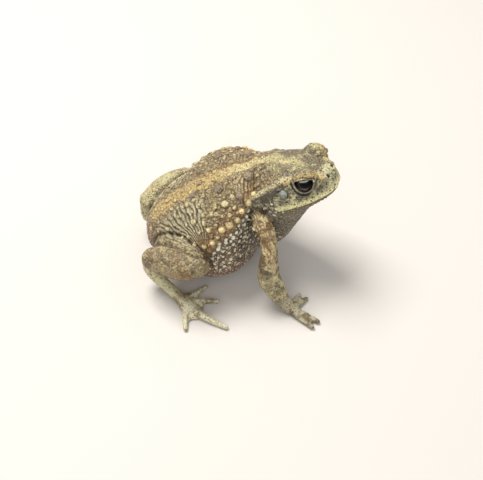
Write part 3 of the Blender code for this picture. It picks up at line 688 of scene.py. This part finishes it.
def setWarts(coat):
    rng = random.Random(warts["seed"])
    dots = Dots(coat.points)

    def measured(name):
        rows = [(row, side) for row in warts[name] for side in (-1, 1)]
        places = [(trunkSpot(coat.tree, x, angle, side), radius) for (x, angle, radius), side in rows]
        return dots.add(places, *warts["form"][name])

    def strewn(name, where, mask=None):
        count, spacing, sizes, radius, height = warts["strewn"][name]
        return dots.add(dots.scatter(where, count, spacing, sizes, rng), radius, height, mask)

    pearl, pale, knob, white = (measured(name) for name in ("pearls", "pale", "knobs", "white"))
    trunk, flank, belly = coat.part("torso"), coat.masks["flank"], coat.masks["belly"]
    back = trunk * (1 - flank) * (1 - belly) * (pearl < 0.01)
    unmeasured = (coat.x < -13) | (coat.y > 4)
    pale = strewn("pale", back * (coat.angle > 14) * unmeasured, pale)
    brown = strewn("brown", back * (coat.masks["groin"] < 0.35))
    white = strewn("white", flank * (1 - belly), white)
    strewn("granules", flank + belly + coat.masks["throat"] * 0.6)
    jawCorner = hill(coat.f, 5.0, 3.0) * hill(coat.h, 28.5, 2.4) * ease(5, 8, np.abs(coat.s)) * 1.4
    white = strewn("jaw", jawCorner * (coat.part("upper_arm") < 0.1), white)
    limbWart = strewn("limbs", coat.part("upper_arm", "forearm", "thigh", "shank", "tarsus"))
    strewn("feet", coat.part("hand", "foot"))
    crown = strewn("crown", coat.part("head") * (coat.h > 36.5) + coat.part("parotoid"))
    kinds = {"pearl": pearl, "pale": pale, "brown": brown, "knob": knob, "white": white}
    for name, values in {**kinds, "headWart": crown, "limbWart": limbWart}.items():
        coat.mark(name, values)
    coat.change = coat.change * (1 - 0.8 * ease(0.05, 0.5, knob)) + dots.raised
    print("warts set:", int((dots.raised > 0).sum()), "points raised")


def skinPiece():
    coat = Coat(skinBase())
    print("skin shared out among the nodes")
    stripe = markStripe(coat)
    markFlank(coat)
    markFolds(coat, stripe)
    markCreases(coat)
    markHead(coat)
    markLimbs(coat)
    setWarts(coat)
    shaped = coat.points + coat.normals * coat.change[:, None]
    coat.mesh.vertices.foreach_set("co", shaped.ravel())
    for name, values in coat.masks.items():
        layer = coat.mesh.attributes.new(name, "FLOAT", "POINT")
        layer.data.foreach_set("value", values.astype(np.float32))
    count = sum(len(p.vertices) - 2 for p in coat.mesh.polygons)
    mesh = evaluated(coat.mesh, [("DECIMATE", {"ratio": skin["triangles"] / count})])
    print("skin sculpted:", count, "triangles, thinned to", len(mesh.polygons))
    places = placesOf(mesh)
    places[:, 2] = np.maximum(places[:, 2], 0.0)  # nothing below the floor
    mesh.vertices.foreach_set("co", places.ravel())
    finish(mesh, "skin", skinMaterial(coat.masks), fleshNodes)


class Wire:
    # A shader socket on which sums are written as plain expressions
    def __init__(self, paint, socket):
        self.paint = paint
        self.socket = socket

    def sum(self, operation, *values):
        return self.paint.node("ShaderNodeMath", {"operation": operation}, dict(enumerate(values)))

    def __add__(self, other):
        return self.sum("ADD", self, other)

    def __radd__(self, other):
        return self.sum("ADD", other, self)

    def __sub__(self, other):
        return self.sum("SUBTRACT", self, other)

    def __rsub__(self, other):
        return self.sum("SUBTRACT", other, self)

    def __mul__(self, other):
        return self.sum("MULTIPLY", self, other)

    def __rmul__(self, other):
        return self.sum("MULTIPLY", other, self)

    def __truediv__(self, other):
        return self.sum("DIVIDE", self, other)

    def __pow__(self, other):
        return self.sum("POWER", self, other)

    def changed(self, operation):
        return self.sum(operation, self)

    def ease(self, low, high, start=0.0, end=1.0):
        settings = {"interpolation_type": "SMOOTHSTEP"}
        return self.paint.node("ShaderNodeMapRange", settings, {0: self, 1: low, 2: high, 3: start, 4: end})


class Paint:
    # One material and the nodes that make it
    def __init__(self, name):
        self.material = bpy.data.materials.new(name)
        self.material.use_nodes = True
        self.tree = self.material.node_tree
        self.shader = self.tree.nodes["Principled BSDF"]

    def join(self, value, socket):
        if isinstance(value, Wire):
            self.tree.links.new(value.socket, socket)
        else:
            socket.default_value = value

    def node(self, kind, settings=None, values=None, out=0):
        made = self.tree.nodes.new(kind)
        for key, value in (settings or {}).items():
            setattr(made, key, value)
        for key, value in (values or {}).items():
            self.join(value, made.inputs[key])
        return Wire(self, made.outputs[out])

    def attribute(self, name, out="Fac"):
        return self.node("ShaderNodeAttribute", {"attribute_name": name}, out=out)

    def place(self):
        return self.node("ShaderNodeTexCoord", out="Object")

    def noise(self, place, size, detail=3.0, rough=0.55, twist=0.0):
        # Clouds of a given size in millimetres
        values = {"Vector": place, "Scale": 1 / (size * mm), "Detail": detail}
        values.update({"Roughness": rough, "Distortion": twist})
        return self.node("ShaderNodeTexNoise", None, values)

    def cells(self, place, size, feature="F1", out="Distance"):
        settings = {"feature": feature}
        return self.node("ShaderNodeTexVoronoi", settings, {"Vector": place, "Scale": 1 / (size * mm)}, out)

    def mix(self, share, a, b):
        return self.node("ShaderNodeMix", {"data_type": "RGBA"}, {0: share, 6: a, 7: b}, out=2)

    def bump(self, height, distance, strength=1.0):
        values = {"Height": height, "Distance": distance * mm, "Strength": strength}
        return self.node("ShaderNodeBump", None, values)

    def set(self, **values):
        for key, value in values.items():
            self.join(value, self.shader.inputs[key.replace("_", " ")])


tones = {
    "olive": (0.245, 0.182, 0.085, 1),
    "brown": (0.155, 0.105, 0.050, 1),
    # Painted shade, laid in the cracks and grain between the cobbles, the fold valleys, the creases and round
    # the warts' feet
    "creviceShade": (0.050, 0.032, 0.016, 1),
    "tan": (0.52, 0.40, 0.19, 1),
    "grey": (0.36, 0.29, 0.17, 1),
    "gold": (0.47, 0.335, 0.130, 1),
    "straw": (0.58, 0.495, 0.25, 1),
    "russet": (0.30, 0.135, 0.080, 1),
    "rust": (0.34, 0.155, 0.040, 1),
    "cream": (0.62, 0.52, 0.28, 1),
    # Pale tone of the painted highlight on fold ridges, and of the neck's pale streaks
    "fold": (0.60, 0.55, 0.37, 1),
    "crown": (0.44, 0.405, 0.190, 1),
    "crownOlive": (0.145, 0.122, 0.078, 1),
    "knob": (0.215, 0.165, 0.110, 1),
    "groin": (0.30, 0.275, 0.17, 1),
    "pearl": (0.70, 0.55, 0.28, 1),
    "white": (0.84, 0.79, 0.62, 1),
    "dark": (0.060, 0.047, 0.033, 1),
    # Dark specks; also laid as painted shade in the lid creases, the nostrils' pits and the armpits
    "speck": (0.028, 0.020, 0.012, 1),
    "faceCream": (0.54, 0.505, 0.28, 1),
    "faceOlive": (0.110, 0.100, 0.060, 1),
    "lip": (0.86, 0.80, 0.42, 1),
    "lidGrey": (0.225, 0.212, 0.190, 1),
    "blueGrey": (0.30, 0.31, 0.285, 1),
    "throat": (0.235, 0.21, 0.145, 1),
    "foot": (0.63, 0.59, 0.41, 1),
    "limb": (0.43, 0.350, 0.185, 1),
    "limbDark": (0.105, 0.076, 0.040, 1),
    "legBrown": (0.225, 0.165, 0.082, 1),
    "flankDark": (0.070, 0.050, 0.034, 1),
    "flankBrown": (0.22, 0.15, 0.085, 1),
    # Tone of the tarsus's own paler skin, also used as painted light on the far leg and the forearm
    "paleLimb": (0.57, 0.52, 0.28, 1),
}


hide = {
    # Clouds: size in millimetres, detail, roughness and distortion
    "broad": (7.0, 4.0, 0.6),
    "blotch": (4.0, 2.5, 0.55, 0.8),
    "specked": (3.0, 2.0),
    "patch": (2.6, 4.0, 0.6, 0.4),
    "fine": (0.8, 3.0, 0.65),
    "streaks": (0.9, 2.0),
    # Cells: size in millimetres, and what is measured in them
    "cobble": (0.85, "SMOOTH_F1"),
    "joint": (0.85, "DISTANCE_TO_EDGE"),
    "grain": (0.45, "SMOOTH_F1"),
    "speck": (0.62,),
    "blot": (1.05,),
    "granule": (0.75,),
    "relief": 0.75,  # height of the painted relief
}


class Hide(Paint):
    # The skin's material: the mesh's zones, clouds and cells, and tones laid one over another
    def __init__(self, zones):
        super().__init__("toadSkin")
        self.zone = SimpleNamespace(**{name: self.attribute(name) for name in zones})
        place = self.place()
        tall = self.node("ShaderNodeVectorMath", {"operation": "MULTIPLY"}, {0: place, 1: (1.0, 1.0, 0.3)})
        self.streaks = self.noise(tall, *hide["streaks"])
        for name in ("broad", "blotch", "specked", "patch", "fine"):
            setattr(self, name, self.noise(place, *hide[name]))
        for name in ("cobble", "joint", "grain", "speck", "blot", "granule"):
            setattr(self, name, self.cells(place, *hide[name]))

    def blend(self, share, first, second):
        # Two tones, by name or mixed before, as one
        first, second = (tones[tone] if isinstance(tone, str) else tone for tone in (first, second))
        return self.mix(share, first, second)

    def lay(self, share, tone):
        # A tone over the colour so far
        self.colour = self.blend(share, self.colour, tone)

    def forms(self):
        # Folds, and cobbles with cracks between them, weaker on face, limbs, feet and stripe
        zone = self.zone
        self.ridge = zone.foldTurns.changed("SINE").changed("ABSOLUTE")
        self.fold = self.ridge.ease(0.70, 0.0) * zone.folds * (1 - zone.knob.ease(0.05, 0.4))
        rough = (1 - zone.face * 0.75) * (1 - zone.limb * 0.45) * (1 - zone.feet * 0.8)
        rough = rough * (1 - zone.folds.ease(0.1, 0.5) * 0.85)
        rough = rough * (1 - zone.stripe.ease(0.1, 0.5) * 0.5)
        self.rough = rough * (1 - zone.crown * 0.5) * (1 - zone.gland * 0.4)
        self.tops = self.cobble.ease(0.42, 0.16) * (self.rough * 0.7 + 0.3)
        self.cracks = self.joint.ease(0.17, 0.02) * self.broad.ease(0.3, 0.6, 0.45, 0.9) * self.rough

    def ground(self):
        # The olive back and the blotched limbs
        zone, broad, patch, fine = self.zone, self.broad, self.patch, self.fine
        back = self.blend(broad.ease(0.35, 0.65), "olive", "grey")
        back = self.blend(patch.ease(0.45, 0.70) * 0.7, back, "brown")
        # Tan on the cobbles' tops: partly their own paler tips, partly a painted highlight
        back = self.blend(self.tops * fine.ease(0.3, 0.6) * 0.6, back, "tan")
        limb = self.blend((self.blotch * 0.6 + patch * 0.4).ease(0.46, 0.53), "limb", "limbDark")
        limb = self.blend(zone.leg * 0.5, limb, "legBrown")
        limb = self.blend(fine.ease(0.48, 0.70) * 0.35, limb, "cream")
        limb = self.blend(broad.ease(0.52, 0.62) * 0.25, limb, "rust")
        # Painted light over part of the limbs: the far thigh and shank and the forearm lightened, the tarsus
        # paler in its own tone and as painted light
        limb = self.blend(zone.paleLimb * patch.ease(0.72, 0.50) * 0.95, limb, "paleLimb")
        self.colour = self.blend(zone.limb, back, limb)
        self.lay(broad.ease(0.50, 0.68) * patch.ease(0.4, 0.6) * 0.45, "rust")
        self.lay(zone.armTop * self.ridge.ease(1.0, 0.35) * patch.ease(0.42, 0.50) * 0.65, "rust")
        self.lay(zone.armTop * self.ridge.ease(0.7, 1.0) * patch.ease(0.60, 0.45) * 0.5, "cream")

    def trunk(self):
        # Groin, stripe, flank, belly and throat
        zone, patch, fine = self.zone, self.patch, self.fine
        self.lay(zone.groin * 0.5, "groin")
        # Painted highlight along the ridges of the groin and shoulder folds
        self.lay(zone.folds * self.ridge.ease(0.6, 1.0) * (1 - zone.armTop) * 0.5, "fold")
        self.lay(zone.rust * patch.ease(0.3, 0.55) * 0.85, "rust")
        stripe = self.blend(zone.front, "gold", "straw")
        self.lay(zone.stripe.ease(0.12, 0.45) * fine.ease(0.05, 0.4, 0.7, 1.0), stripe)
        self.lay(zone.flank * 0.9, self.blend(patch.ease(0.4, 0.6), "flankDark", "flankBrown"))
        self.lay(zone.belly * 0.9, self.blend(patch.ease(0.36, 0.56), "grey", "russet"))
        self.lay(zone.throat * 0.9, "throat")

    def head(self):
        # Crown, cheeks, snout and lips, then the gland, the neck and the pale band over both
        zone, patch, fine, blotch = self.zone, self.patch, self.fine, self.blotch
        crown = self.blend((blotch * 0.55 + patch * 0.45).ease(0.43, 0.52), "crown", "crownOlive")
        self.lay(zone.crown * 0.85, crown)
        cheek = self.blend((blotch * 0.5 + patch * 0.5).ease(0.39, 0.53), "faceCream", "faceOlive")
        self.lay(zone.face, cheek)
        self.lay(zone.snout * patch.ease(0.6, 0.4, 0.35, 0.85), "faceCream")
        self.lay(zone.lipEdge * fine.ease(0.25, 0.5, 0.45, 0.95), "lip")
        self.lay(zone.headPatch * fine.ease(0.2, 0.4), "straw")
        self.lay(zone.gland * 0.9, "faceOlive")
        self.lay(zone.neck * 0.85, self.blend(self.streaks.ease(0.46, 0.55), "faceOlive", "fold"))
        self.lay(zone.glandBand * fine.ease(0.25, 0.45, 0.6, 0.95), "cream")

    def shades(self):
        # Feet, then painted shade in the cracks, grain, fold valleys and creases, the hands' blotches, the
        # line under the gland and the painted shadow in the armpits
        zone, patch, fine = self.zone, self.patch, self.fine
        self.lay(zone.feet * 0.85, self.blend(patch.ease(0.47, 0.65), "foot", "olive"))
        # Painted shade in the cracks between the cobbles and, less on limbs and lips, in the grain
        self.lay(self.cracks * 0.8, "creviceShade")
        grainShadeShare = (1 - zone.limb * 0.5) * (1 - zone.lipEdge * 0.8)
        self.lay(self.grain.ease(0.36, 0.60) * grainShadeShare * 0.30, "creviceShade")
        # Painted shade in the valleys of the folds
        self.lay(self.fold * 0.5, "creviceShade")
        # Painted shade in the creases where the limbs meet the trunk and the shank meets the thigh
        self.lay(zone.crease.ease(0.35, 1.0) * 0.7, "creviceShade")
        self.lay(zone.hands * patch.ease(0.45, 0.60, 0.35, 0.75), "limbDark")
        self.lay(zone.brow * 0.8, self.blend(fine.ease(0.45, 0.70), "gold", "rust"))
        self.lay(zone.glandShade.ease(0.08, 0.6) * fine.ease(0.25, 0.6, 1.0, 0.7), "dark")
        # Painted shadow in the armpits
        self.lay(zone.armpit.ease(0.3, 0.8), "speck")
        self.lay(zone.cheekStreak.ease(0.3, 0.8), "speck")

    def warts(self):
        # Painted shade in a ring round each larger wart's foot, then the warts' own tones
        zone = self.zone
        for name, share in (("pale", 0.6), ("pearl", 0.5), ("brown", 0.3), ("knob", 0.8)):
            wart = getattr(zone, name)
            self.lay(wart.ease(0.0, 0.10) * wart.ease(0.40, 0.15) * share, "creviceShade")
        self.lay(zone.brown.ease(0.25, 0.8) * 0.35, "tan")
        self.lay(zone.knob.ease(0.15, 0.45) * 0.75, "knob")
        self.lay(zone.pale.ease(0.15, 0.8) * (zone.nearRow * 0.3 + 0.6), "cream")
        self.lay(zone.pearl.ease(0.05, 0.35) * 0.8, "tan")
        self.lay(zone.pearl.ease(0.25, 0.95), "pearl")
        granules = self.granule.ease(0.40, 0.24) * self.fine.ease(0.35, 0.55) * 0.9
        self.lay(granules * (zone.flank + zone.belly * 0.5 + zone.throat * 0.35), "white")
        self.lay(zone.white.ease(0.10, 0.6) * 0.9, "white")
        self.lay(zone.headWart.ease(0.3, 0.8) * 0.3, "cream")
        self.lay(zone.limbWart.ease(0.2, 0.8) * 0.45, "tan")

    def features(self):
        # Lids, nostrils, lips and the painted shade above the eardrums, with the small specks and the face's
        # larger ones; the lids' edges and creases, the nostrils' pits and the mouth's groove are darkened
        # with painted shade
        zone = self.zone
        self.lay(zone.lidPale * 0.8, "lidGrey")
        self.lay(zone.nostrilRim * 0.7, "blueGrey")
        self.lay(zone.snoutBlotch * 0.8, "dark")
        self.lay(zone.earShade * 0.7, "dark")
        bare = 1 - zone.white.ease(0.05, 0.3)
        specked = (self.specked + zone.face * 0.14).ease(0.42, 0.58)
        self.lay(self.speck.ease(0.36, 0.24) * specked * bare * 0.8, "speck")
        spotted = zone.face + zone.snout + zone.glandBand + zone.limb * 0.8 + zone.hands * 0.5
        blots = self.blot.ease(0.35, 0.22) * self.patch.ease(0.36, 0.50) * spotted.ease(0.3, 1.0)
        self.lay(blots * bare * 0.85, "speck")
        # Painted shade along the lids' edges and creases
        self.lay(zone.lidDark.ease(0.2, 0.8), "speck")
        # Painted shade in the nostrils' pits
        self.lay(zone.nostril.ease(0.3, 0.8), "speck")
        # Painted shade along the mouth's groove
        self.lay(zone.lips * 0.8, "brown")

    def surface(self):
        # Gloss, and fine relief that is weakest on pearls and feet
        zone, fine = self.zone, self.fine
        smooth = zone.pearl + zone.white * 0.7 + zone.limb * 0.35 + zone.feet * 0.5
        smooth = 1 - smooth.ease(0.1, 0.8) * 0.8
        cobbles = (1 - self.cobble) * zone.face.ease(0.2, 0.8, 1.0, 0.55) * (self.rough * 0.6 + 0.4)
        height = cobbles + (1 - self.grain) * 0.35 + fine * 0.3
        height = (height - self.fold * 0.7 - self.cracks * 0.2) * smooth
        normal = self.bump(height, hide["relief"])
        self.set(Base_Color=self.colour, Roughness=fine.ease(0.2, 0.8, 0.42, 0.62), Normal=normal)


def skinMaterial(zones):
    paint = Hide(zones)
    paint.forms()
    paint.ground()
    paint.trunk()
    paint.head()
    paint.shades()
    paint.warts()
    paint.features()
    paint.surface()
    return paint.material


ball = {
    "segments": 72,
    "rings": 48,
    "pupil": (0.60, 0.45),  # half sizes, and its middle, as shares of the radius
    "pupilAt": (0.18, 0.14),
    "iris": 0.86,
    # The iris: its flecks, what lies between them, its upper part and its front
    "pale": (0.22, 0.165, 0.13, 1),
    "brown": (0.06, 0.042, 0.034, 1),
    "above": (0.020, 0.016, 0.014, 1),
    "front": (0.010, 0.008, 0.007, 1),
    "ring": (0.34, 0.27, 0.18, 1),  # round the pupil
    "edge": (0.006, 0.005, 0.004, 1),
    "black": (0.002, 0.002, 0.002, 1),
    # A painted highlight: the pale gleam of reflected sky on the ball's upper part
    "paintedGleam": (0.40, 0.40, 0.38, 1),  # the pale gleam on the upper part
    "roughness": 0.12,
    "shine": 0.10,
}


def eyePiece(side, label):
    bm = bmesh.new()
    bmesh.ops.create_uvsphere(bm, u_segments=ball["segments"], v_segments=ball["rings"], radius=eye["radius"])
    mesh = meshFrom(bm, "eyeball")
    local = mesh.attributes.new("eyePlace", "FLOAT_VECTOR", "POINT")
    local.data.foreach_set("vector", (placesOf(mesh) / eye["radius"]).ravel())
    mesh.transform(eyeFrame(side))
    if side > 0:
        mesh.flip_normals()  # the left eye's frame is the right one's mirror image
    finish(mesh, "eyeball" + label, eyeMaterial(), ["eye_" + label.lower()])


def eyeMaterial():
    paint = Paint("toadEye")
    spot = paint.attribute("eyePlace", "Vector")
    along, up = (paint.node("ShaderNodeSeparateXYZ", None, {0: spot}, out=i) for i in (0, 1))
    wide, high = ball["pupil"]
    across = (along - ball["pupilAt"][0]) / wide
    upward = (up - ball["pupilAt"][1]) / high
    pupil = (across * across + upward * upward) ** 0.5
    far = (along * along + up * up) ** 0.5
    flecks = paint.noise(paint.place(), 0.35, 4.0, 0.7)
    iris = paint.mix(flecks.ease(0.4, 0.62), ball["brown"], ball["pale"])
    iris = paint.mix(up.ease(-0.42, -0.15), iris, ball["above"])
    iris = paint.mix(along.ease(0.0, 0.5) * 0.85, iris, ball["front"])
    iris = paint.mix(pupil.ease(1.10, 1.02) * 0.25, iris, ball["ring"])
    iris = paint.mix(far.ease(ball["iris"] - 0.12, ball["iris"]), iris, ball["edge"])
    colour = paint.mix(pupil.ease(1.06, 0.98), iris, ball["black"])
    # The painted highlight, a pale arc above the pupil
    paintedGleam = up.ease(0.32, 0.38) * up.ease(0.52, 0.46) * along.ease(-0.5, -0.2) * along.ease(0.62, 0.40)
    colour = paint.mix(paintedGleam, colour, ball["paintedGleam"])
    paint.set(Base_Color=colour, Roughness=ball["roughness"], Specular_IOR_Level=ball["shine"])
    return paint.material


drum = {
    "radius": 1.15,
    "wide": 1.12,  # how much wider than high
    "rings": 5,
    "dish": 0.03,
    "thickness": 0.35,
    "lift": 0.18,  # of its rim above the skin in the ear's hollow
    "dark": (0.165, 0.190, 0.168, 1),
    "pale": (0.25, 0.26, 0.21, 1),
    "roughness": 0.75,
}


def drumPiece(side, label, tree):
    # A thin closed disc, dished in its middle, that lies in the skin's hollow
    start = headPoint(face["ear"][0], side * 40, face["ear"][1])
    place, normal = onSkin(tree, start, headTurn() @ Vector((0, -side, 0)))
    bm = bmesh.new()
    bmesh.ops.create_circle(bm, cap_ends=True, segments=40, radius=drum["radius"])
    top = bm.faces[:]
    for _ in range(drum["rings"]):
        bmesh.ops.inset_region(bm, faces=top, thickness=drum["radius"] / (drum["rings"] + 1), depth=0.0)
    for vert in bm.verts:
        out = vert.co.xy.length / drum["radius"]
        vert.co.z = -drum["dish"] * (1 - out**2)
        vert.co.x *= drum["wide"]
    bmesh.ops.recalc_face_normals(bm, faces=bm.faces)
    turn = normal.to_track_quat("Z", "Y").to_matrix().to_4x4()
    mesh = meshFrom(bm, "drum")
    mesh = evaluated(mesh, [("SOLIDIFY", {"thickness": drum["thickness"], "offset": -1.0})])
    mesh.transform(Matrix.Translation(place + normal * drum["lift"]) @ turn)
    finish(mesh, "eardrum" + label, drumMaterial(), ["tympanum_" + label.lower()])


def drumMaterial():
    paint = Paint("toadEardrum")
    patch = paint.noise(paint.place(), 0.6, 3.0)
    colour = paint.mix(patch.ease(0.35, 0.65), drum["dark"], drum["pale"])
    paint.set(Base_Color=colour, Roughness=drum["roughness"], Normal=paint.bump(patch, 0.06, 0.6))
    return paint.material


skinPiece()
print("skin done")
for side, label in ((-1, "Right"), (1, "Left")):
    eyePiece(side, label)
skinMesh = bpy.data.objects["skin"].data.copy()
skinMesh.transform(toToad)
skinTree = treeOf(skinMesh)
for side, label in ((-1, "Right"), (1, "Left")):
    drumPiece(side, label, skinTree)
bpy.data.meshes.remove(skinMesh)
print("eyes and eardrums done")

stage = {
    "floor": 3.0,  # metres across
    "floorTone": (0.56, 0.53, 0.50, 1),
    "floorRoughness": 0.85,
    "target": (1.68, -0.80, 5.6),  # millimetres, as is the distance
    "distance": 280.0,
    "elevation": math.radians(48.0),
    "azimuth": math.radians(-2.0),
    "lens": 68.9,
    "sky": (1.0, 0.985, 0.95, 1),
    "skyStrength": 0.55,
    # Lamps: name, place and size in metres, watts, tone
    "lamps": [
        ("key", (-0.16, 0.14, 0.52), 0.28, 4.2, (1.0, 0.98, 0.94)),
        ("fill", (-0.05, -0.50, 0.35), 0.5, 1.2, (1.0, 1.0, 1.0)),
        ("side", (0.45, 0.05, 0.30), 0.4, 0.35, (1.0, 1.0, 1.0)),
    ],
}


def floorPiece():
    bm = bmesh.new()
    bmesh.ops.create_grid(bm, x_segments=2, y_segments=2, size=stage["floor"] / 2)
    floor = bpy.data.objects.new("floor", meshFrom(bm, "floor"))
    paint = Paint("floorPaper")
    paint.set(Base_Color=stage["floorTone"], Roughness=stage["floorRoughness"])
    floor.data.materials.append(paint.material)
    bpy.context.scene.collection.objects.link(floor)


def lamp(name, place, size, watts, tone):
    light = bpy.data.lights.new(name, "AREA")
    light.size = size
    light.energy = watts
    light.color = tone
    holder = bpy.data.objects.new(name, light)
    holder.location = place
    holder.rotation_euler = (-Vector(place)).to_track_quat("-Z", "Y").to_euler()
    bpy.context.scene.collection.objects.link(holder)


def cameraPiece():
    up, turn = stage["elevation"], stage["azimuth"]
    back = Vector((math.sin(turn) * math.cos(up), -math.cos(turn) * math.cos(up), math.sin(up)))
    camera = bpy.data.cameras.new("camera")
    camera.sensor_width = 36.0
    camera.lens = stage["lens"]
    holder = bpy.data.objects.new("camera", camera)
    target = Vector(stage["target"]) * 0.001
    holder.location = target + back * stage["distance"] * 0.001
    holder.rotation_euler = back.to_track_quat("Z", "Y").to_euler()
    bpy.context.scene.collection.objects.link(holder)
    bpy.context.scene.camera = holder


floorPiece()
for values in stage["lamps"]:
    lamp(*values)
cameraPiece()
world = bpy.data.worlds.new("studio")
world.use_nodes = True
world.node_tree.nodes["Background"].inputs["Color"].default_value = stage["sky"]
world.node_tree.nodes["Background"].inputs["Strength"].default_value = stage["skyStrength"]
bpy.context.scene.world = world
bpy.context.scene.view_settings.view_transform = "Standard"
print("stage set")
